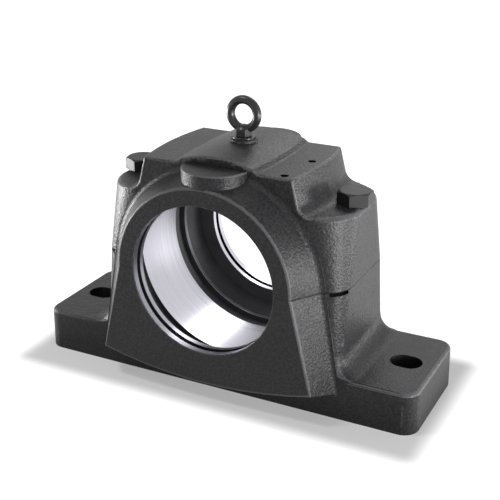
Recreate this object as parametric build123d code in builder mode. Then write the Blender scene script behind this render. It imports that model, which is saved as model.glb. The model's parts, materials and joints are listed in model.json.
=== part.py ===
from build123d import *
from math import cos, radians, sin, sqrt, tan
import os

# Split plummer block: a cast-iron bearing housing in two halves. The base stands on two slotted feet,
# the cap is bolted down on it, and both are bored together along Y.
# Millimetres. X runs along the feet, Y along the shaft, Z up. Origin: middle of the underside.

# ---- driving dimensions -------------------------------------------------------------------------
# feet
base_length = 620.0
base_width = 187.0
foot_height = 64.0
foot_corner = 24.0          # vertical corners of the feet
foot_edge = 5.5             # rounding along the top of the feet
slot_end_distance = 46.0    # centre of each foundation bolt slot from the end of its foot
slot_length = 48.0
slot_width = 38.0
draft = 1.0                 # moulding draft of the long faces, degrees

# column between the feet, in plan a rounded rectangle whose corners open out with height
centre_height = 190.0       # shaft centre line, and the joint between base and cap
column_length = 390.0
column_foot_corner = 20.0
column_joint_corner = 35.0
foot_blend = 32.0           # hollow rounding from the column down to the feet

# cap, its heights taken from the joint
boss_above_joint = 105.0    # machined seats of the cap bolts
boss_length = 389.0
boss_corner = 64.0
boss_end_edge = 9.0         # rounding along the top of their ends
boss_front_edge = 4.5       # and of their fronts
shoulder_above_joint = 155.5  # flat pads beside the crown
shoulder_end_width = 233.0  # across the pads at their front and rear ends
shoulder_bow = 9.5          # how far the long sides of the pads bulge
shoulder_slope = 14.0       # degrees off vertical
shoulder_blend = 20.0
shoulder_corner = 3.5
shoulder_edge = 4.5
crown_radius = 175.0
crown_above_joint = 170.5   # top of the crown at its ends
crown_rise = 2.0            # and how much higher its middle is
crown_end_width = 114.0     # across the crown at its ends, where its sides break down to the pads
crown_bow = 5.0             # how far those long sides bulge
crown_slope = 55.0          # degrees off vertical
crown_break_blend = 8.0
crown_foot_blend = 9.0

# collars in front and behind, and the flat pad on top of each
overall_width = 268.0
collar_radius = 137.5       # at the collar's face
collar_root_growth = 0.650  # how fast the collar widens towards the column, mm per mm
collar_root_drop = 0.306    # and how fast its centre goes down
collar_sill_half = 170.5    # lower corners of the collar's face
collar_sill_height = 49.5
collar_sill_growth = 0.514
collar_sill_drop = 0.210
collar_sill_radius = 690.0
collar_edge = 2.5           # rounding round the face
collar_blend = 6.0          # hollow rounding where it runs into the front of the casting
pad_radius = 49.5
pad_above_joint = 157.0
pad_setback = 0.6           # the pad's front stands this far behind the collar's face
pad_edge = 2.0

# bores
seal_bore = 224.0
seal_wall = 25.5            # length of the seal bore in each end wall
seal_groove_start = 10.0
seal_groove_width = 8.0
seal_groove_depth = 7.0
seat_bore = 300.0           # bearing seat
seat_width = 100.0
relief_bore = 312.0         # as-cast space on both sides of the seat
relief_length = 25.0
ring_bore = 296.0           # land beyond the relief
ring_length = 7.0
chamber_bore = 270.0        # where the chamber meets the end wall
bore_edge = 1.0

# fasteners
cap_bolt_spacing = 350.0
cap_bolt_diameter = 30.0
cap_bolt_grip = 150.0       # shank length under the head
cap_bolt_flats = 46.0
cap_bolt_head = 18.7
cap_bolt_face = 44.0         # flat circle on top of the head
head_cone = 60.0            # and the cone beside it, degrees off vertical
cap_bolt_turn = 3.0         # degrees the heads stopped past square
bolt_clearance = 1.5        # radial, in the cap
seat_face_margin = 1.5      # spot face beyond the corners of the head
thread_clearance = 0.1      # radial, in the tapped holes
tap_runout = 12.0           # tapped holes go this much deeper than the screw
dowel_diameter = 12.0
dowel_length = 32.0
dowel_x = 174.0
dowel_y = 58.0
grease_tap = 11.8           # tapping size of the two holes in one shoulder
grease_tap_depth = 22.0
grease_passage = 7.0
grease_edge_distance = 18.0
grease_spacing = 76.0

# eye bolt and the cast boss it stands on
eye_boss_diameter = 41.0
eye_boss_above_joint = 176.5
eye_boss_blend = 4.0
eye_boss_edge = 1.0
eye_thread = 12.0
eye_thread_length = 18.0
eye_flange_diameter = 35.0
eye_flange_thickness = 3.0
eye_neck_flats = 23.0
eye_neck_height = 11.0
eye_dome_height = 6.0
eye_ring_inside = 30.0
eye_ring_bar = 12.6
eye_ring_centre = 34.5      # above the seat of the flange

# pry notches in the corners of the base at the joint
pry_width = 30.0
pry_height = 5.5
pry_depth = 9.0
pry_turn = 38.0             # their direction, degrees off the X axis

# ---- derived sizes ------------------------------------------------------------------------------
draft_slope = tan(radians(draft))
slot_spacing = base_length - 2 * slot_end_distance
boss_height = centre_height + boss_above_joint
shoulder_height = centre_height + shoulder_above_joint
crown_height = centre_height + crown_above_joint
pad_height = centre_height + pad_above_joint
eye_boss_height = centre_height + eye_boss_above_joint
collar_face = overall_width / 2
bolt_hole_radius = cap_bolt_diameter / 2 + bolt_clearance
bolt_tap_radius = cap_bolt_diameter / 2 + thread_clearance
seat_face_radius = cap_bolt_flats / 2 / cos(radians(30)) + seat_face_margin
cap_bolt_engaged = cap_bolt_grip - boss_above_joint
dowel_places = {"dowel_right": (dowel_x, dowel_y), "dowel_left": (-dowel_x, -dowel_y)}
bore_axis = Axis((0, 0, centre_height), (0, 1, 0))
joint_plane = Plane.XY.offset(centre_height)


def half_width(height):
    """Half the width of base and cap at a height, with the moulding draft."""
    return base_width / 2 - height * draft_slope


def column_section(height, length, corner, rounding=0.0):
    """One plan section of the column, as a face; where a top edge is rounded, so far round it (0 to 1)."""
    end_inset = boss_end_edge * rounding
    front_inset = boss_front_edge * rounding
    with BuildSketch(Plane.XY.offset(height)) as section:
        RectangleRounded(
            length - 2 * end_inset, 2 * (half_width(height) - front_inset), corner - (end_inset + front_inset) / 2
        )
    return section.sketch.face()


# ---- bores --------------------------------------------------------------------------------------
# What the boring bar and the core leave empty, one body of revolution for both halves: seal bore with
# its groove, end wall, as-cast chamber, relief, and the bearing seat in the middle.
seat_end = seat_width / 2
relief_end = seat_end + relief_length
ring_end = relief_end + ring_length
wall_face = collar_face - seal_wall
groove_outer = collar_face - seal_groove_start
groove_inner = groove_outer - seal_groove_width
groove_radius = seal_bore / 2 + seal_groove_depth
with BuildPart() as bores:
    with BuildSketch(Plane.YZ):
        with BuildLine():
            Polyline(
                (0, centre_height),
                (0, centre_height + seat_bore / 2),
                (seat_end, centre_height + seat_bore / 2),
                (seat_end, centre_height + relief_bore / 2),
                (relief_end, centre_height + relief_bore / 2),
                (relief_end, centre_height + ring_bore / 2),
                (ring_end, centre_height + ring_bore / 2),
                (wall_face, centre_height + chamber_bore / 2),
                (wall_face, centre_height + seal_bore / 2),
                (groove_inner, centre_height + seal_bore / 2),
                (groove_inner, centre_height + groove_radius),
                (groove_outer, centre_height + groove_radius),
                (groove_outer, centre_height + seal_bore / 2),
                (collar_face - bore_edge, centre_height + seal_bore / 2),
                (collar_face, centre_height + seal_bore / 2 + bore_edge),
                (collar_face + bore_edge, centre_height + seal_bore / 2 + bore_edge),
                (collar_face + bore_edge, centre_height),
                close=True,
            )
        make_face()
    revolve(axis=bore_axis)
    mirror(about=Plane.XZ)

# ---- collars ------------------------------------------------------------------------------------
# The necks round the shaft in front and behind, whole here, and split between the halves further on.


def wall_plane(distance):
    """A plane parallel to the drafted front face, this far in front of it."""
    return Plane(
        origin=(0, -half_width(0) - distance, 0),
        x_dir=(1, 0, 0),
        z_dir=(0, -cos(radians(draft)), sin(radians(draft))),
    )


def collar_section(plane, inward, growth):
    """Outline of the collar on a plane: round above the joint, straight sides and a sagging sill below."""
    drop = collar_root_drop * inward
    radius = collar_radius + collar_root_growth * inward + growth
    joint_half = sqrt(radius**2 - drop**2)
    sill_half = collar_sill_half + collar_sill_growth * inward + growth
    sill_height = collar_sill_height - collar_sill_drop * inward - growth
    sag = collar_sill_radius - sqrt(collar_sill_radius**2 - sill_half**2)
    with BuildSketch(plane) as section:
        with BuildLine():
            ThreePointArc(
                (joint_half, centre_height), (0, centre_height - drop + radius), (-joint_half, centre_height)
            )
            Line((-joint_half, centre_height), (-sill_half, sill_height))
            ThreePointArc((-sill_half, sill_height), (0, sill_height - sag), (sill_half, sill_height))
            Line((sill_half, sill_height), (joint_half, centre_height))
        make_face()
    return section.sketch.face()


collar_length = collar_face - half_width(centre_height)
collar_sections = []
# rounded edge of the collar's face
for step in range(4):
    turn = radians(30 * step)
    inward = collar_edge * (1 - cos(turn))
    face_plane = Plane.XZ.offset(collar_face - inward)
    collar_sections.append(collar_section(face_plane, inward, collar_edge * (sin(turn) - 1)))
# hollow rounding where the collar runs into the front face
for step in range(7):
    turn = radians(15 * step)
    distance = collar_blend * (1 - sin(turn))
    collar_sections.append(
        collar_section(wall_plane(distance), collar_length - distance, collar_blend * (1 - cos(turn)))
    )
# the root stays inside the casting
collar_sections.append(collar_section(wall_plane(-collar_blend), collar_length, collar_blend))
with BuildPart() as collars:
    loft(collar_sections, ruled=True)
    mirror(about=Plane.XZ)

# ---- base ---------------------------------------------------------------------------------------
# sections of the column from inside the foot plate, through the flare, up to the joint
flare_steps = 6
flare_sections = [column_section(foot_height - foot_edge, column_length + 2 * foot_blend, column_foot_corner)]
for step in range(flare_steps + 1):
    turn = radians(90 * step / flare_steps)
    flare = foot_blend * (1 - sin(turn))
    height = foot_height + foot_blend * (1 - cos(turn))
    flare_sections.append(column_section(height, column_length + 2 * flare, column_foot_corner))
flare_sections.append(column_section(centre_height, column_length, column_joint_corner))

with BuildPart() as housing_base:
    # the plate of the two feet
    with BuildSketch():
        RectangleRounded(base_length, base_width, foot_corner)
    extrude(amount=foot_height, taper=draft)
    fillet(edges().group_by(Axis.Z)[-1], foot_edge)
    # the column, flaring into the feet
    loft(flare_sections, ruled=True)
    add(collars.part)
    split(bisect_by=joint_plane, keep=Keep.BOTTOM)
    add(bores.part, mode=Mode.SUBTRACT)
    # slotted holes for the foundation bolts
    with BuildSketch():
        with GridLocations(slot_spacing, 0, 2, 1):
            SlotOverall(slot_length, slot_width)
    extrude(amount=foot_height + foot_blend, mode=Mode.SUBTRACT)
    # tapped holes for the cap bolts, and the dowel holes
    with Locations(joint_plane):
        with GridLocations(cap_bolt_spacing, 0, 2, 1):
            Hole(bolt_tap_radius, cap_bolt_engaged + tap_runout)
        with Locations(*dowel_places.values()):
            Hole(dowel_diameter / 2, dowel_length / 2)
    # pry notches in the four corners of the joint
    corner_x = column_length / 2 - column_joint_corner
    corner_y = half_width(centre_height) - column_joint_corner
    with BuildSketch(joint_plane):
        for side_x in (-1, 1):
            for side_y in (-1, 1):
                direction = side_x * side_y * pry_turn + (0 if side_x > 0 else 180)
                reach = column_joint_corner - pry_depth / 2
                notch_x = side_x * (corner_x + reach * cos(radians(pry_turn)))
                notch_y = side_y * (corner_y + reach * sin(radians(pry_turn)))
                with Locations(Location((notch_x, notch_y), direction)):
                    Rectangle(2 * pry_depth, pry_width, align=(Align.CENTER, Align.CENTER))
    extrude(amount=-pry_height, mode=Mode.SUBTRACT)
housing_base.part.label = "housing_base"

# ---- cap ----------------------------------------------------------------------------------------
# bosses of the cap bolts: corners open out with height, top edge rounded
boss_sections = []
for step in range(5):
    rise = step / 4
    height = centre_height + rise * (boss_height - boss_end_edge - centre_height)
    corner = column_joint_corner + rise * (boss_corner - column_joint_corner)
    length = column_length + rise**2 * (boss_length - column_length)
    boss_sections.append(column_section(height, length, corner))
for step in range(1, 6):
    turn = radians(18 * step)
    height = boss_height - boss_end_edge * (1 - sin(turn))
    boss_sections.append(column_section(height, boss_length, boss_corner, 1 - cos(turn)))


def fullness(y):
    """How far the bowed sides stand out at a place along the shaft: 1 in the middle, 0 at the ends."""
    return 1 - (y / half_width(crown_height)) ** 2


def crown_profile(y):
    """Outline across crown, pads and shoulders at one place along the shaft, as a face."""
    crown_top = crown_height + crown_rise * fullness(y)
    crown_centre = crown_top - crown_radius
    break_x = crown_end_width / 2 + crown_bow * fullness(y)
    break_z = crown_centre + sqrt(crown_radius**2 - break_x**2)
    slope_foot_x = break_x + (break_z - shoulder_height) * tan(radians(crown_slope))
    edge_x = shoulder_end_width / 2 + shoulder_bow * fullness(y)
    foot_x = edge_x + (shoulder_height - boss_height) * tan(radians(shoulder_slope))
    skirt_x = foot_x + shoulder_blend
    with BuildSketch(Plane.XZ.offset(-y)) as profile:
        with BuildLine():
            ThreePointArc((-break_x, break_z), (0, crown_top), (break_x, break_z))
            for side in (1, -1):
                Polyline(
                    (side * break_x, break_z),
                    (side * slope_foot_x, shoulder_height),
                    (side * edge_x, shoulder_height),
                    (side * foot_x, boss_height),
                    (side * skirt_x, boss_height),
                    (side * skirt_x, skirt_height),
                )
            Line((-skirt_x, skirt_height), (skirt_x, skirt_height))
        make_face()
        for x, z, radius in (
            (break_x, break_z, crown_break_blend),
            (slope_foot_x, shoulder_height, crown_foot_blend),
            (edge_x, shoulder_height, shoulder_edge),
            (foot_x, boss_height, shoulder_blend),
        ):
            picked = [v for v in profile.vertices() if abs(abs(v.X) - x) < 0.01 and abs(v.Y - z) < 0.01]
            fillet(picked, radius)
    return profile.sketch.face()


skirt_height = boss_height - 2 * boss_end_edge
grease_places = [
    (shoulder_end_width / 2 + shoulder_bow * fullness(y) - grease_edge_distance, y) for y in (0, -grease_spacing)
]

with BuildPart() as eye_boss:
    # a cast stub under the eye bolt, hollowed down onto the crown
    stub_radius = eye_boss_diameter / 2
    stub_foot = stub_radius + eye_boss_blend
    stub_root = crown_height - stub_foot**2 / (2 * crown_radius)
    with BuildSketch(Plane.XZ):
        with BuildLine():
            Line((0, eye_boss_height), (stub_radius, eye_boss_height))
            Line((stub_radius, eye_boss_height), (stub_radius, stub_root + eye_boss_blend))
            RadiusArc((stub_radius, stub_root + eye_boss_blend), (stub_foot, stub_root), -eye_boss_blend)
            Line((stub_foot, stub_root), (stub_foot, shoulder_height))
            Line((stub_foot, shoulder_height), (0, shoulder_height))
            Line((0, shoulder_height), (0, eye_boss_height))
        make_face()
    revolve(axis=Axis.Z)
    fillet(edges().group_by(Axis.Z)[-1], eye_boss_edge)

with BuildPart() as pads:
    # the flat pad on top of each collar
    pad_centre = collar_face - pad_setback - pad_radius
    with BuildSketch(Plane.XY.offset(pad_height)):
        with Locations((0, -pad_centre), (0, pad_centre)):
            Circle(pad_radius)
    extrude(amount=-(pad_above_joint - seal_bore / 2 - bore_edge))
    fillet(edges().group_by(Axis.Z)[-1], pad_edge)

with BuildPart() as housing_cap:
    # crown, pads and shoulders in one skin, its ends cut to the drafted faces of the casting
    loft([crown_profile(base_width / 2 * place) for place in (-1, -0.5, 0, 0.5, 1)])
    with BuildSketch(Plane.XY.offset(skirt_height)):
        RectangleRounded(boss_length, 2 * half_width(skirt_height), boss_corner)
    extrude(amount=crown_height, taper=draft, mode=Mode.INTERSECT)
    ends = edges().filter_by(
        lambda edge: edge.center().Z > boss_height - shoulder_corner
        and abs(edge.center().Y) > half_width(edge.center().Z) - shoulder_corner / 10
    )
    fillet(ends, shoulder_corner)
    loft(boss_sections, ruled=True)
    add(collars.part)
    split(bisect_by=joint_plane, keep=Keep.TOP)
    add(pads.part)
    add(eye_boss.part)
    add(bores.part, mode=Mode.SUBTRACT)
    # spot-faced seats and through holes for the cap bolts
    with BuildSketch(Plane.XY.offset(boss_height)):
        with GridLocations(cap_bolt_spacing, 0, 2, 1):
            Circle(seat_face_radius)
    extrude(amount=cap_bolt_head, mode=Mode.SUBTRACT)
    with Locations(Plane.XY.offset(boss_height)):
        with GridLocations(cap_bolt_spacing, 0, 2, 1):
            Hole(bolt_hole_radius, boss_above_joint)
    # the upper ends of the dowel holes
    with BuildSketch(joint_plane):
        with Locations(*dowel_places.values()):
            Circle(dowel_diameter / 2)
    extrude(amount=dowel_length / 2, mode=Mode.SUBTRACT)
    # tapped hole for the eye bolt
    with Locations(Plane.XY.offset(eye_boss_height)):
        Hole(eye_thread / 2 + thread_clearance, eye_thread_length)
    # two tapped grease holes in the right-hand pad, with passages down into the chamber
    with Locations(Plane.XY.offset(shoulder_height)):
        with Locations(*grease_places):
            CounterBoreHole(grease_passage / 2, grease_tap / 2, grease_tap_depth, shoulder_height - centre_height)
housing_cap.part.label = "housing_cap"

# ---- cap bolts ----------------------------------------------------------------------------------
cap_bolts = {}
for name, x in (("cap_bolt_left", -cap_bolt_spacing / 2), ("cap_bolt_right", cap_bolt_spacing / 2)):
    seat = Plane(origin=(x, 0, boss_height))
    with BuildPart() as bolt:
        with BuildSketch(seat):
            RegularPolygon(cap_bolt_flats / 2, 6, major_radius=False, rotation=cap_bolt_turn + 30)
        extrude(amount=cap_bolt_head)
        # the turned chamfer on the head: what a cone leaves of the hexagon's corners
        with BuildSketch(seat):
            Circle(cap_bolt_face / 2 + cap_bolt_head * tan(radians(head_cone)))
        extrude(amount=cap_bolt_head, taper=head_cone, mode=Mode.INTERSECT)
        with BuildSketch(seat):
            Circle(cap_bolt_diameter / 2)
        extrude(amount=-cap_bolt_grip)
        chamfer(edges().sort_by(Axis.Z)[0], cap_bolt_diameter / 15)
    bolt.part.label = name
    cap_bolts[name] = bolt.part

# ---- dowels -------------------------------------------------------------------------------------
dowels = {}
for name, (x, y) in dowel_places.items():
    with BuildPart() as dowel:
        with BuildSketch(Plane(origin=(x, y, centre_height - dowel_length / 2))):
            Circle(dowel_diameter / 2)
        extrude(amount=dowel_length)
        chamfer(edges().filter_by(GeomType.CIRCLE), dowel_diameter / 12)
    dowel.part.label = name
    dowels[name] = dowel.part

# ---- eye bolt -----------------------------------------------------------------------------------
eye_seat = Plane.XY.offset(eye_boss_height)
neck_top = eye_flange_thickness + eye_neck_height
ring_middle_radius = (eye_ring_inside + eye_ring_bar) / 2
with BuildPart() as eye_bolt:
    with BuildSketch(eye_seat):
        Circle(eye_flange_diameter / 2)
    extrude(amount=eye_flange_thickness)
    fillet(edges().sort_by(Axis.Z)[-1], eye_flange_thickness / 3)
    with BuildSketch(eye_seat):
        RegularPolygon(eye_neck_flats / 2, 6, major_radius=False, rotation=cap_bolt_turn)
    extrude(amount=neck_top)
    # the domed top of the neck, a cap of a sphere
    dome_radius = ((eye_neck_flats / 2) ** 2 + eye_dome_height**2) / (2 * eye_dome_height)
    with BuildSketch(Plane.XZ):
        with BuildLine():
            CenterArc((0, eye_boss_height + neck_top + eye_dome_height - dome_radius), dome_radius, 0, 90)
            Line(
                (0, eye_boss_height + neck_top + eye_dome_height),
                (0, eye_boss_height + neck_top + eye_dome_height - dome_radius),
            )
            Line(
                (0, eye_boss_height + neck_top + eye_dome_height - dome_radius),
                (dome_radius, eye_boss_height + neck_top + eye_dome_height - dome_radius),
            )
        make_face()
        with Locations((0, eye_boss_height + neck_top)):
            Rectangle(2 * dome_radius, 2 * dome_radius, align=(Align.CENTER, Align.MIN), mode=Mode.INTERSECT)
    revolve(axis=Axis.Z)
    # the ring
    with BuildSketch(Plane.YZ):
        with Locations((0, eye_boss_height + eye_ring_centre + ring_middle_radius)):
            Circle(eye_ring_bar / 2)
    revolve(axis=Axis((0, 0, eye_boss_height + eye_ring_centre), (0, 1, 0)))
    # the threaded shank
    with BuildSketch(eye_seat):
        Circle(eye_thread / 2)
    extrude(amount=-eye_thread_length)
    chamfer(edges().sort_by(Axis.Z)[0], eye_thread / 10)
eye_bolt.part.label = "eye_bolt"

# ---- files --------------------------------------------------------------------------------------
os.makedirs("parts", exist_ok=True)
pieces = {"housing_base": housing_base.part, "housing_cap": housing_cap.part, "eye_bolt": eye_bolt.part}
pieces.update(cap_bolts)
pieces.update(dowels)
for name, piece in pieces.items():
    export_step(piece, f"parts/{name}.step")
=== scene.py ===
import bmesh
import bpy
import json
from math import cos, pi, radians, sin
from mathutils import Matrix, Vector


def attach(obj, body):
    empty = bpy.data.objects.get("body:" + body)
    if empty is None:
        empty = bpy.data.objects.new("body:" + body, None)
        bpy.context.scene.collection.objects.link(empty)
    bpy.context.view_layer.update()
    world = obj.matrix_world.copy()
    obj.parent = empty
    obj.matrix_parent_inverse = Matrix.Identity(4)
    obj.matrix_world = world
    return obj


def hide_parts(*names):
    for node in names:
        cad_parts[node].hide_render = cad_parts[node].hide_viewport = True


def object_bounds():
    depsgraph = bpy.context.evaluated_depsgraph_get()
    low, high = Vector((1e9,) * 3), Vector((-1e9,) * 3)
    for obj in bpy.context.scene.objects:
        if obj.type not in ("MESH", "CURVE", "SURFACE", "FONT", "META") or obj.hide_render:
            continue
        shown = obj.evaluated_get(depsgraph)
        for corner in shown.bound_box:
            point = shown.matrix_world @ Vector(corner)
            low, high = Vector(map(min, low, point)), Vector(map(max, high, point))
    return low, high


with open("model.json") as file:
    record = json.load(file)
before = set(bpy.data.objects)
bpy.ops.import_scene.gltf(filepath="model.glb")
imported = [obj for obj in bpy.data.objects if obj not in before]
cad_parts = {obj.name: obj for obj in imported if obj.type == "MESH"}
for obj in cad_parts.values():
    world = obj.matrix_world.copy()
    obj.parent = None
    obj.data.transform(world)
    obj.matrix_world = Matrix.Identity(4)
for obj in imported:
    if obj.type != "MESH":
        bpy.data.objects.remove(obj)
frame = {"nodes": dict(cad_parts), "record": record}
cad_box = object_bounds()

# ---- housing ------------------------------------------------------------------------------------
# Base and cap are grey cast iron from sand moulds, fettled and sprayed with a dark grey satin paint
# that leaves the sand grain to feel and to see. Both halves are bolted together before they are bored,
# so the bearing seat and the seal bores run bright across the joint; the underside is milled.
millimetre = 0.001
joint_height = 190 * millimetre
seat_radius = 150 * millimetre
ring_radius = 148 * millimetre
# the hollow between the seal bores: its radius, how far it reaches each way and where its end walls start
inside_radius = 157 * millimetre
inside_length = 109 * millimetre
wall_start = 85 * millimetre
mounts = {mount["name"]: mount for mount in frame["record"]["mounts"]}
seal_radius = mounts["front_seal_bore"]["dims"]["r_mm"] * millimetre
bored_radii = (seat_radius, ring_radius, seal_radius)
crease = radians(32)


def linear(colour):
    """The linear colour of an sRGB hex colour."""
    channels = [int(colour[i:i + 2], 16) / 255 for i in (1, 3, 5)]
    return [c / 12.92 if c <= 0.04045 else ((c + 0.055) / 1.055) ** 2.4 for c in channels] + [1.0]


def add_node(material, kind, settings=None, links=None):
    """Add one shader node; settings go to its properties or unlinked inputs, links to its inputs."""
    node = material.node_tree.nodes.new(kind)
    for name, value in (settings or {}).items():
        if isinstance(name, str) and hasattr(node, name):
            setattr(node, name, value)
        else:
            node.inputs[name].default_value = value
    for name, output in (links or {}).items():
        material.node_tree.links.new(output, node.inputs[name])
    return node


def new_material(name):
    """A material with an empty node tree."""
    material = bpy.data.materials.new(name)
    material.use_nodes = True
    material.node_tree.nodes.clear()
    return material


def white_rays(material):
    """1 for the rays that see the studio as plain white, in the lens and in reflections, 0 for others."""
    rays = add_node(material, "ShaderNodeLightPath")
    seen = add_node(
        material, "ShaderNodeMath", {"operation": "MAXIMUM"},
        {0: rays.outputs["Is Camera Ray"], 1: rays.outputs["Is Glossy Ray"]},
    )
    seen_or_through = add_node(
        material, "ShaderNodeMath", {"operation": "MAXIMUM"},
        {0: seen.outputs[0], 1: rays.outputs["Is Transmission Ray"]},
    )
    return seen_or_through.outputs[0]


def deselect_all():
    """Leave nothing selected, so that the next operator acts on its own piece only."""
    for other in bpy.context.selected_objects:
        other.select_set(False)


# Satin paint over sand grain: it catches light in small pebbles on every side-lit face. The real grain
# is about 1 mm; it is drawn at 3.6 mm to show at this distance.
casting = new_material("satin_paint_on_sand_casting")
place = add_node(casting, "ShaderNodeTexCoord")
grain = add_node(
    casting, "ShaderNodeTexNoise", {"Scale": 1 / (3.6 * millimetre), "Detail": 3.0, "Roughness": 0.6},
    {"Vector": place.outputs["Object"]},
)
# swells left by the rammed mould, about a finger's breadth
swell = add_node(
    casting, "ShaderNodeTexNoise", {"Scale": 1 / (22 * millimetre), "Detail": 3.0},
    {"Vector": place.outputs["Object"]},
)
# paint pooled a little thicker in some places than in others
cloud = add_node(
    casting, "ShaderNodeTexNoise", {"Scale": 1 / (75 * millimetre), "Detail": 2.0},
    {"Vector": place.outputs["Object"]},
)
tone = add_node(
    casting, "ShaderNodeMix", {"data_type": "RGBA", 6: linear("#1E1E1F"), 7: linear("#272729")},
    {"Factor": cloud.outputs["Fac"]},
)
speck = add_node(
    casting, "ShaderNodeMapRange", {"From Min": 0.35, "From Max": 0.7}, {0: grain.outputs["Fac"]},
)
speckled = add_node(
    casting, "ShaderNodeMix", {"data_type": "RGBA", "blend_type": "OVERLAY", "Factor": 0.6},
    {6: tone.outputs[2], 7: speck.outputs[0]},
)
# the joint between the halves, a hairline of shadow drawn 2 mm wide so that it shows
height_parts = add_node(casting, "ShaderNodeSeparateXYZ", links={0: place.outputs["Object"]})
off_joint = add_node(
    casting, "ShaderNodeMath", {"operation": "SUBTRACT", 1: joint_height}, {0: height_parts.outputs["Z"]}
)
from_joint = add_node(casting, "ShaderNodeMath", {"operation": "ABSOLUTE"}, {0: off_joint.outputs[0]})
joint_line = add_node(
    casting, "ShaderNodeMapRange",
    {"From Min": 0.4 * millimetre, "From Max": 1.1 * millimetre, "To Min": 1.0, "To Max": 0.0},
    {0: from_joint.outputs[0]},
)
lined = add_node(
    casting, "ShaderNodeMix", {"data_type": "RGBA", 7: linear("#060606")},
    {"Factor": joint_line.outputs[0], 6: speckled.outputs[2]},
)
# a painted highlight along the rounded outer edges, lighter grey where the edge is tighter
rim = add_node(casting, "ShaderNodeAttribute", {"attribute_name": "rim"})
edge_highlight_amount = add_node(
    casting, "ShaderNodeMapRange", {"From Min": 0.35, "From Max": 1.0, "To Max": 0.6}, {0: rim.outputs["Fac"]}
)
# painted highlight: the paint colour is mixed towards a light grey on the rounded edges
edge_highlighted = add_node(
    casting, "ShaderNodeMix", {"data_type": "RGBA", 7: linear("#626264")},
    {"Factor": edge_highlight_amount.outputs[0], 6: lined.outputs[2]},
)
sheen = add_node(casting, "ShaderNodeMapRange", {"To Min": 0.34, "To Max": 0.44}, {0: cloud.outputs["Fac"]})
swell_skin = add_node(
    casting, "ShaderNodeBump", {"Strength": 0.5, "Distance": 1.5 * millimetre},
    {"Height": swell.outputs["Fac"]},
)
grain_skin = add_node(
    casting, "ShaderNodeBump", {"Strength": 0.9, "Distance": 1.1 * millimetre},
    {"Height": grain.outputs["Fac"], "Normal": swell_skin.outputs[0]},
)
groove_skin = add_node(
    casting, "ShaderNodeBump", {"Strength": 0.8, "Distance": 0.8 * millimetre, "invert": True},
    {"Height": joint_line.outputs[0], "Normal": grain_skin.outputs[0]},
)
paint = add_node(
    casting, "ShaderNodeBsdfPrincipled", {"Specular IOR Level": 0.22},
    {"Base Color": edge_highlighted.outputs[2], "Roughness": sheen.outputs[0], "Normal": groove_skin.outputs[0]},
)
add_node(casting, "ShaderNodeOutputMaterial", links={"Surface": paint.outputs[0]})

# Fine-bored iron: close feed lines round the bore under a near mirror with a cool tint. The real feed
# is 0.2 mm; its waviness is drawn at 4 mm, which is what shows as soft bands.
bored_iron = new_material("fine_bored_iron")
place = add_node(bored_iron, "ShaderNodeTexCoord")
round_bore = add_node(
    bored_iron, "ShaderNodeMapping", {"Scale": (4.0, 1 / (4 * millimetre), 4.0)},
    {"Vector": place.outputs["Object"]},
)
feed = add_node(
    bored_iron, "ShaderNodeTexNoise", {"Scale": 1.0, "Detail": 3.0}, {"Vector": round_bore.outputs[0]},
)
gloss = add_node(bored_iron, "ShaderNodeMapRange", {"To Min": 0.22, "To Max": 0.36}, {0: feed.outputs["Fac"]})
shade = add_node(
    bored_iron, "ShaderNodeMix", {"data_type": "RGBA", 6: linear("#BDBCC6"), 7: linear("#DEDDE6")},
    {"Factor": feed.outputs["Fac"]},
)
feed_skin = add_node(
    bored_iron, "ShaderNodeBump", {"Strength": 0.12, "Distance": 0.2 * millimetre},
    {"Height": feed.outputs["Fac"]},
)
metal = add_node(
    bored_iron, "ShaderNodeBsdfPrincipled", {"Metallic": 1.0},
    {"Base Color": shade.outputs[2], "Roughness": gloss.outputs[0], "Normal": feed_skin.outputs[0]},
)
add_node(bored_iron, "ShaderNodeOutputMaterial", links={"Surface": metal.outputs[0]})

# Face-milled iron under the feet: rings left by the facing cut, drawn about 19 mm apart.
milled_iron = new_material("face_milled_iron")
place = add_node(milled_iron, "ShaderNodeTexCoord")
arcs = add_node(
    milled_iron, "ShaderNodeTexWave",
    {"wave_type": "RINGS", "rings_direction": "Z", "Scale": 1 / (60 * millimetre), "Distortion": 1.5,
     "Detail": 2.0, "Detail Scale": 1.5},
    {"Vector": place.outputs["Object"]},
)
cut = add_node(milled_iron, "ShaderNodeMapRange", {"To Min": 0.3, "To Max": 0.48}, {0: arcs.outputs["Fac"]})
milled_shade = add_node(
    milled_iron, "ShaderNodeMix", {"data_type": "RGBA", 6: linear("#8F8E90"), 7: linear("#A9A8AB")},
    {"Factor": arcs.outputs["Fac"]},
)
milled_metal = add_node(
    milled_iron, "ShaderNodeBsdfPrincipled", {"Metallic": 1.0},
    {"Base Color": milled_shade.outputs[2], "Roughness": cut.outputs[0]},
)
add_node(milled_iron, "ShaderNodeOutputMaterial", links={"Surface": milled_metal.outputs[0]})


# Inside, the sand-cast skin has only a coat of matt grey primer, which grease and dust have mottled.
primer = new_material("matt_primer_on_casting")
place = add_node(primer, "ShaderNodeTexCoord")
inner_grain = add_node(
    primer, "ShaderNodeTexNoise", {"Scale": 1 / (2.6 * millimetre), "Detail": 2.0},
    {"Vector": place.outputs["Object"]},
)
mottle = add_node(
    primer, "ShaderNodeTexNoise", {"Scale": 1 / (30 * millimetre), "Detail": 3.0},
    {"Vector": place.outputs["Object"]},
)
primer_tone = add_node(
    primer, "ShaderNodeMix", {"data_type": "RGBA", 6: linear("#4E4E50"), 7: linear("#6B6B6D")},
    {"Factor": mottle.outputs["Fac"]},
)
inner_skin = add_node(
    primer, "ShaderNodeBump", {"Strength": 0.5, "Distance": 0.6 * millimetre},
    {"Height": inner_grain.outputs["Fac"]},
)
primer_coat = add_node(
    primer, "ShaderNodeBsdfPrincipled", {"Specular IOR Level": 0.35, "Roughness": 0.5},
    {"Base Color": primer_tone.outputs[2], "Normal": inner_skin.outputs[0]},
)
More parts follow.
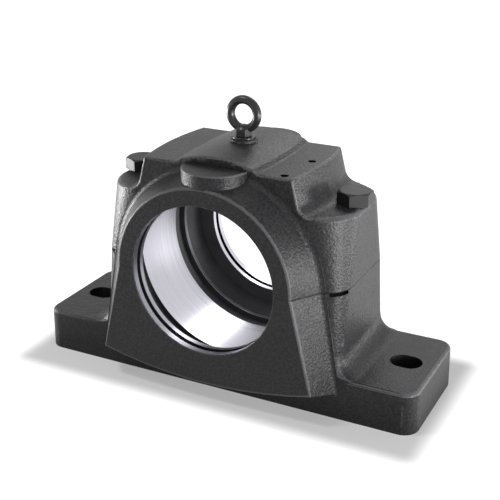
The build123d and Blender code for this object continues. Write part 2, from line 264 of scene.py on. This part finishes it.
add_node(primer, "ShaderNodeOutputMaterial", links={"Surface": primer_coat.outputs[0]})


def merged_copy(node):
    """A copy of a CAD node with its loose triangles joined into one skin."""
    skin = frame["nodes"][node].copy()
    skin.data = frame["nodes"][node].data.copy()
    skin.name = node + "_skin"
    skin.parent = None
    bpy.context.scene.collection.objects.link(skin)
    deselect_all()
    skin.select_set(True)
    bpy.context.view_layer.objects.active = skin
    bpy.ops.object.mode_set(mode="EDIT")
    bpy.ops.mesh.select_all(action="SELECT")
    bpy.ops.mesh.remove_doubles(threshold=0.01 * millimetre)
    bpy.ops.object.mode_set(mode="OBJECT")
    return skin


def smooth(skin):
    """Smooth the skin except at its sharp edges, and let its wide faces lead where narrow ones meet them."""
    bpy.ops.object.shade_smooth_by_angle(angle=crease)
    shape = bmesh.new()
    shape.from_mesh(skin.data)
    width = {}
    for start in shape.faces:
        if start in width:
            continue
        flat = {start}
        reached = [start]
        while reached:
            for edge in reached.pop().edges:
                if len(edge.link_faces) == 2 and edge.calc_face_angle() < radians(0.2):
                    reached += [face for face in edge.link_faces if face not in flat]
                    flat.update(edge.link_faces)
        width.update(dict.fromkeys(flat, sum(face.calc_area() for face in flat)))
    normals = {}
    for corner in shape.verts:
        waiting = set(corner.link_faces)
        while waiting:
            fan = [waiting.pop()]
            for face in fan:
                for edge in face.edges:
                    if corner not in edge.verts or len(edge.link_faces) != 2:
                        continue
                    if edge.calc_face_angle() < crease:
                        fan += [other for other in edge.link_faces if other in waiting]
                        waiting.difference_update(edge.link_faces)
            lead = sum((face.normal * width[face] ** 2 for face in fan), Vector()).normalized()
            normals.update({(face.index, corner.index): lead for face in fan})
    shape.free()
    looks = [Vector((0, 0, 0))] * len(skin.data.loops)
    for polygon in skin.data.polygons:
        for index in polygon.loop_indices:
            looks[index] = normals[polygon.index, skin.data.loops[index].vertex_index]
    skin.data.normals_split_custom_set(looks)


def true_bores(skin):
    """Let each bored face look straight at the shaft, as a turned surface does."""
    normals = [Vector(corner.vector) for corner in skin.data.corner_normals]
    for polygon in skin.data.polygons:
        if polygon.material_index == 1:
            for index in polygon.loop_indices:
                corner = skin.data.vertices[skin.data.loops[index].vertex_index].co
                normals[index] = Vector((-corner.x, 0, joint_height - corner.z)).normalized()
    skin.data.normals_split_custom_set(normals)


def mark_rims(skin, largest_radius):
    """Write on the rounded outer edges how tight they are, 0 to 1, as the attribute "rim" that sets their
    painted highlight.
    """
    shape = bmesh.new()
    shape.from_mesh(skin.data)
    tightness = [0.0] * len(shape.verts)
    rounded = [False] * len(shape.faces)
    for edge in shape.edges:
        if len(edge.link_faces) != 2 or not edge.is_convex:
            continue
        if not radians(6) < edge.calc_face_angle() < radians(50):
            continue
        lengths = [max(side.calc_length() for side in face.edges) for face in edge.link_faces]
        depths = [2 * face.calc_area() / longest for face, longest in zip(edge.link_faces, lengths)]
        narrow = min(depths)
        if narrow < 0.25 * millimetre or edge.calc_length() < narrow:
            continue
        tight = min(edge.calc_face_angle() * largest_radius / narrow, 1.0)
        for corner in edge.verts:
            tightness[corner.index] = max(tightness[corner.index], tight)
        for face, depth, longest in zip(edge.link_faces, depths, lengths):
            runs_along = edge.calc_length() > 0.6 * longest
            rounded[face.index] |= tight > 0.4 and depth < largest_radius and runs_along
    shape.free()
    rim = skin.data.attributes.new("rim", "FLOAT", "CORNER")
    for polygon in skin.data.polygons:
        for index in polygon.loop_indices:
            on_rim = rounded[polygon.index] and polygon.material_index == 0
            rim.data[index].value = tightness[skin.data.loops[index].vertex_index] if on_rim else 0.0


def finish_of(corners, normal):
    """The finish of one face, from its corners: 1 fine-bored, 2 milled, 3 primed inside, 0 painted."""
    reach = [Vector((corner.x, corner.z - joint_height)).length for corner in corners]
    middle = sum(corners, Vector()) / len(corners)
    for radius in bored_radii:
        if max(abs(distance - radius) for distance in reach) < 0.3 * millimetre:
            return 1
    if max(corner.z for corner in corners) < 0.01 * millimetre:
        return 2
    hollow = max(reach) < inside_radius and abs(middle.y) < inside_length
    from_centre = Vector((middle.x, middle.y, middle.z - joint_height))
    inward = normal.dot(from_centre) < 0 or abs(middle.y) < wall_start
    return 3 if hollow and inward else 0


def round_bores(skin):
    """Divide the facets of the bored faces four ways and push their corners out to the true radius."""
    bpy.ops.object.mode_set(mode="EDIT")
    bpy.ops.mesh.select_all(action="DESELECT")
    bpy.ops.object.mode_set(mode="OBJECT")
    for polygon in skin.data.polygons:
        polygon.select = polygon.material_index == 1
    bpy.ops.object.mode_set(mode="EDIT")
    bpy.ops.mesh.subdivide(number_cuts=3)
    bpy.ops.object.mode_set(mode="OBJECT")
    for polygon in skin.data.polygons:
        if polygon.material_index == 1:
            for index in polygon.vertices:
                corner = skin.data.vertices[index].co
                reach = Vector((corner.x, corner.z - joint_height)).length
                radius = min(bored_radii, key=lambda bore: abs(bore - reach))
                corner.x *= radius / reach
                corner.z = joint_height + (corner.z - joint_height) * radius / reach


for node in ("housing_base", "housing_cap"):
    skin = merged_copy(node)
    skin.data.materials.clear()
    for finish in (casting, bored_iron, milled_iron, primer):
        skin.data.materials.append(finish)
    for polygon in skin.data.polygons:
        corners = [skin.data.vertices[index].co for index in polygon.vertices]
        polygon.material_index = finish_of(corners, polygon.normal)
    round_bores(skin)
    smooth(skin)
    true_bores(skin)
    mark_rims(skin, 6 * millimetre)
    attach(skin, "root")
    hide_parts(node)

# ---- cap bolts ----------------------------------------------------------------------------------
# Two hexagon bolts, cold-forged and black-oxided: near black, with an oily gloss that is duller
# where the forging die left its scale.
black_oxide = new_material("black_oxide_steel")
place = add_node(black_oxide, "ShaderNodeTexCoord")
scale_marks = add_node(
    black_oxide, "ShaderNodeTexNoise", {"Scale": 1 / (1.6 * millimetre), "Detail": 3.0},
    {"Vector": place.outputs["Object"]},
)
oil = add_node(
    black_oxide, "ShaderNodeTexNoise", {"Scale": 1 / (14 * millimetre), "Detail": 2.0},
    {"Vector": place.outputs["Object"]},
)
oil_gloss = add_node(
    black_oxide, "ShaderNodeMapRange", {"To Min": 0.42, "To Max": 0.56}, {0: oil.outputs["Fac"]},
)
oxide_tone = add_node(
    black_oxide, "ShaderNodeMix", {"data_type": "RGBA", 6: linear("#121213"), 7: linear("#1C1C1D")},
    {"Factor": oil.outputs["Fac"]},
)
oxide_skin = add_node(
    black_oxide, "ShaderNodeBump", {"Strength": 0.2, "Distance": 0.15 * millimetre},
    {"Height": scale_marks.outputs["Fac"]},
)
oxide = add_node(
    black_oxide, "ShaderNodeBsdfPrincipled", {"Specular IOR Level": 0.3},
    {"Base Color": oxide_tone.outputs[2], "Roughness": oil_gloss.outputs[0], "Normal": oxide_skin.outputs[0]},
)
add_node(black_oxide, "ShaderNodeOutputMaterial", links={"Surface": oxide.outputs[0]})
for node in ("cap_bolt_left", "cap_bolt_right"):
    frame["nodes"][node].data.materials.clear()
    frame["nodes"][node].data.materials.append(black_oxide)

# ---- eye bolt -----------------------------------------------------------------------------------
# A drop-forged lifting eye, dipped in black enamel: glossier than the housing, with the slightly
# uneven skin of a forging under it.
enamel = new_material("black_enamel_on_forging")
place = add_node(enamel, "ShaderNodeTexCoord")
forged = add_node(
    enamel, "ShaderNodeTexNoise", {"Scale": 1 / (5 * millimetre), "Detail": 2.0},
    {"Vector": place.outputs["Object"]},
)
enamel_tone = add_node(
    enamel, "ShaderNodeMix", {"data_type": "RGBA", 6: linear("#18181A"), 7: linear("#222224")},
    {"Factor": forged.outputs["Fac"]},
)
enamel_gloss = add_node(
    enamel, "ShaderNodeMapRange", {"To Min": 0.26, "To Max": 0.4}, {0: forged.outputs["Fac"]},
)
forged_skin = add_node(
    enamel, "ShaderNodeBump", {"Strength": 0.3, "Distance": 0.3 * millimetre},
    {"Height": forged.outputs["Fac"]},
)
enamel_coat = add_node(
    enamel, "ShaderNodeBsdfPrincipled", {"Specular IOR Level": 0.35},
    {"Base Color": enamel_tone.outputs[2], "Roughness": enamel_gloss.outputs[0],
     "Normal": forged_skin.outputs[0]},
)
add_node(enamel, "ShaderNodeOutputMaterial", links={"Surface": enamel_coat.outputs[0]})
eye_skin = merged_copy("eye_bolt")
smooth(eye_skin)
eye_skin.data.materials.clear()
eye_skin.data.materials.append(enamel)
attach(eye_skin, "root")
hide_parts("eye_bolt")

# ---- dowels -------------------------------------------------------------------------------------
# Two hardened pins across the joint, centreless-ground, so their fine marks run round the pin.
ground_steel = new_material("ground_steel")
place = add_node(ground_steel, "ShaderNodeTexCoord")
round_pin = add_node(
    ground_steel, "ShaderNodeMapping", {"Scale": (20.0, 20.0, 1 / (0.8 * millimetre))},
    {"Vector": place.outputs["Object"]},
)
grinding = add_node(
    ground_steel, "ShaderNodeTexNoise", {"Scale": 1.0, "Detail": 2.0}, {"Vector": round_pin.outputs[0]},
)
pin_gloss = add_node(
    ground_steel, "ShaderNodeMapRange", {"To Min": 0.14, "To Max": 0.26}, {0: grinding.outputs["Fac"]},
)
pin_metal = add_node(
    ground_steel, "ShaderNodeBsdfPrincipled", {"Base Color": linear("#C6C6C9"), "Metallic": 1.0},
    {"Roughness": pin_gloss.outputs[0]},
)
add_node(ground_steel, "ShaderNodeOutputMaterial", links={"Surface": pin_metal.outputs[0]})
for node in ("dowel_left", "dowel_right"):
    frame["nodes"][node].data.materials.clear()
    frame["nodes"][node].data.materials.append(ground_steel)

# ---- floor, light and camera --------------------------------------------------------------------
# A plain pale floor that keeps the block's shadow, with painted shade added near the foot, and turns white
# within 45 mm of it, under a white world.
# Soft lamps stand low on both sides and high behind, so that the edges light up and the front stays dark.
world = bpy.data.worlds.new("studio")
bpy.context.scene.world = world
world.use_nodes = True
world.node_tree.nodes.clear()
strength = add_node(world, "ShaderNodeMapRange", {"To Min": 0.25, "To Max": 1.0}, {0: white_rays(world)})
sky = add_node(world, "ShaderNodeBackground", {"Color": (1, 1, 1, 1)}, {"Strength": strength.outputs[0]})
add_node(world, "ShaderNodeOutputWorld", links={"Surface": sky.outputs[0]})

deselect_all()
bpy.ops.mesh.primitive_plane_add(size=14.0, location=(0, 0, 0))
floor = bpy.context.object
floor.name = "floor"
floor_paint = new_material("pale_floor")
place = add_node(floor_paint, "ShaderNodeTexCoord")
quarter = add_node(
    floor_paint, "ShaderNodeVectorMath", {"operation": "ABSOLUTE"}, {0: place.outputs["Object"]},
)
past_foot = add_node(
    floor_paint, "ShaderNodeVectorMath", {"operation": "SUBTRACT", 1: (cad_box[1][0], cad_box[1][1], 0)},
    {0: quarter.outputs[0]},
)
outside = add_node(
    floor_paint, "ShaderNodeVectorMath", {"operation": "MAXIMUM", 1: (0, 0, 0)}, {0: past_foot.outputs[0]}
)
distance = add_node(floor_paint, "ShaderNodeVectorMath", {"operation": "LENGTH"}, {0: outside.outputs[0]})
# painted shade: the floor's white falls from full at 45 mm off the foot to 0.3 at the foot
white_fade_near_foot = add_node(
    floor_paint, "ShaderNodeMapRange",
    {"interpolation_type": "SMOOTHSTEP", "From Min": 0.0, "From Max": 45 * millimetre, "To Min": 0.3,
     "To Max": 1.0},
    {0: distance.outputs["Value"]},
)
glow = add_node(
    floor_paint, "ShaderNodeMath", {"operation": "MULTIPLY"}, {0: white_fade_near_foot.outputs[0], 1: white_rays(floor_paint)}
)
lit = add_node(floor_paint, "ShaderNodeBsdfDiffuse", {"Color": linear("#B0B0B1")})
white = add_node(floor_paint, "ShaderNodeEmission", links={"Strength": glow.outputs[0]})
both = add_node(floor_paint, "ShaderNodeAddShader", links={0: lit.outputs[0], 1: white.outputs[0]})
add_node(floor_paint, "ShaderNodeOutputMaterial", links={"Surface": both.outputs[0]})
floor.data.materials.append(floor_paint)

# Grids keep the three side lamps mostly off the feet, so that these stay darker than the body.
for name, stand, target, width, height, power, spread in (
    ("right_panel", (1.2, -0.36, 0.2), (0.2, -0.05, 0.29), 0.45, 0.3, 2.1, 50),
    ("right_low", (1.3, 0.7, 0.1), (0.25, 0, 0.26), 0.35, 0.15, 1.0, 50),
    ("left_panel", (-1.25, -0.14, 0.14), (-0.2, 0, 0.32), 0.4, 0.22, 1.7, 50),
    ("back_lamp", (-0.1, 1.9, 1.75), (0, 0, 0.19), 0.9, 0.9, 12.0, 180),
    ("top_lamp", (-0.75, -0.7, 1.95), (0, 0, 0.19), 0.35, 0.35, 13.0, 180),
):
    lamp = bpy.data.objects.new(name, bpy.data.lights.new(name, "AREA"))
    lamp.data.shape = "RECTANGLE"
    lamp.data.size = width
    lamp.data.size_y = height
    lamp.data.energy = power
    lamp.data.spread = radians(spread)
    lamp.location = stand
    lamp.rotation_euler = (Vector(target) - Vector(stand)).to_track_quat("-Z", "Y").to_euler()
    bpy.context.scene.collection.objects.link(lamp)

aim = Vector((0.00983, 0.0, 0.19174))
camera_distance = 1.542
camera_turn = radians(26.84)
camera_rise = radians(22.52)
camera = bpy.data.objects.new("camera", bpy.data.cameras.new("camera"))
bpy.context.scene.collection.objects.link(camera)
camera.location = aim + camera_distance * Vector(
    (sin(camera_turn) * cos(camera_rise), -cos(camera_turn) * cos(camera_rise), sin(camera_rise))
)
camera.rotation_euler = (pi / 2 - camera_rise, 0, camera_turn)
camera.data.sensor_width = 36.0
camera.data.lens = 73.616
bpy.context.scene.camera = camera
bpy.context.scene.view_settings.view_transform = "Standard"
